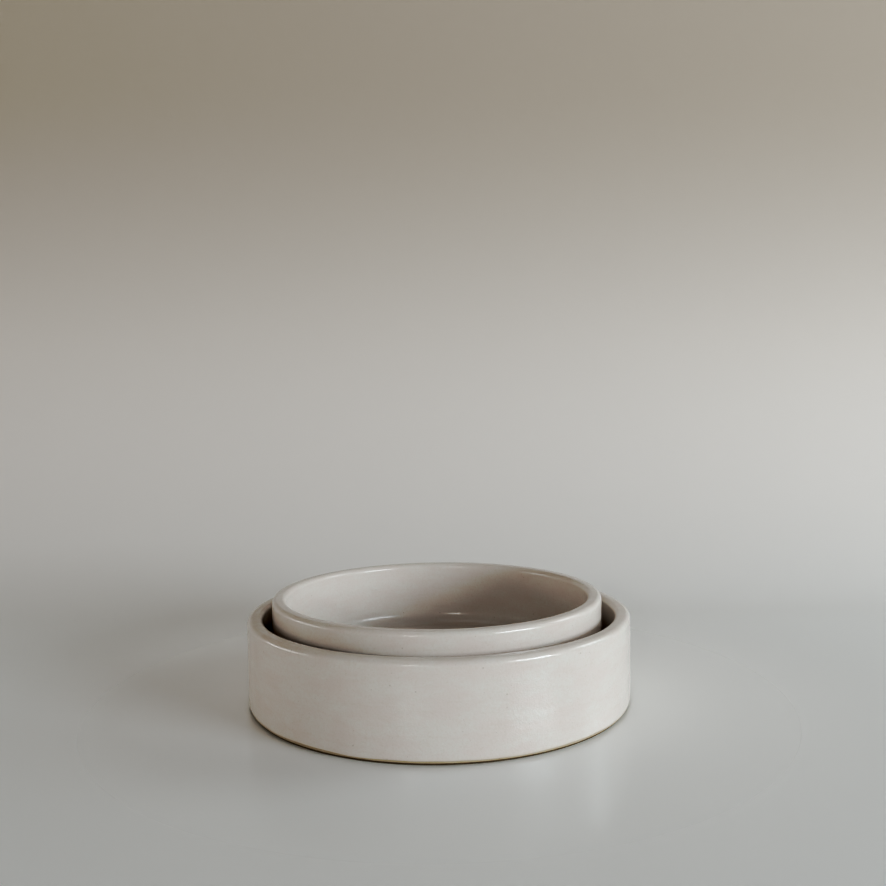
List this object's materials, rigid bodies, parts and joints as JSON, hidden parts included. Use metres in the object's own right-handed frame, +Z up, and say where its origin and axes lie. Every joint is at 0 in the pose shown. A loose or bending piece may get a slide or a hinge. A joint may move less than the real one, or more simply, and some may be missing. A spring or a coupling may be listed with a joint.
{
  "type": "nesting stoneware dish set",
  "caption": "Straight-sided round glazed stoneware dish with a smaller matching dish nested inside it, which lifts out; bare clay foot.",
  "frame": {"origin": "centre of the large dish's foot, on the surface that it stands on", "axes": "+Z up along the large dish's axis; the dishes are round, so X and Y are free, and the small dish stands 0.7 mm off centre towards -X"},
  "size_m": [0.15, 0.15, 0.0406],
  "materials": {
    "stoneware_clay": "bare fired buff clay, matt, fine grained",
    "satin_glaze": "warm white satin glaze with faint specks"
  },
  "bodies": {
    "outer_dish": {"outer_dish_body": "stoneware_clay", "outer_dish_glaze": "satin_glaze"},
    "inner_dish": {"inner_dish_body": "stoneware_clay", "inner_dish_glaze": "satin_glaze"}
  },
  "joints": [
    {"name": "inner_dish_lift", "type": "slide", "parent": "outer_dish", "child": "inner_dish", "axis": [0, 0, 1], "range_m": [0, 0.05]}
  ]
}
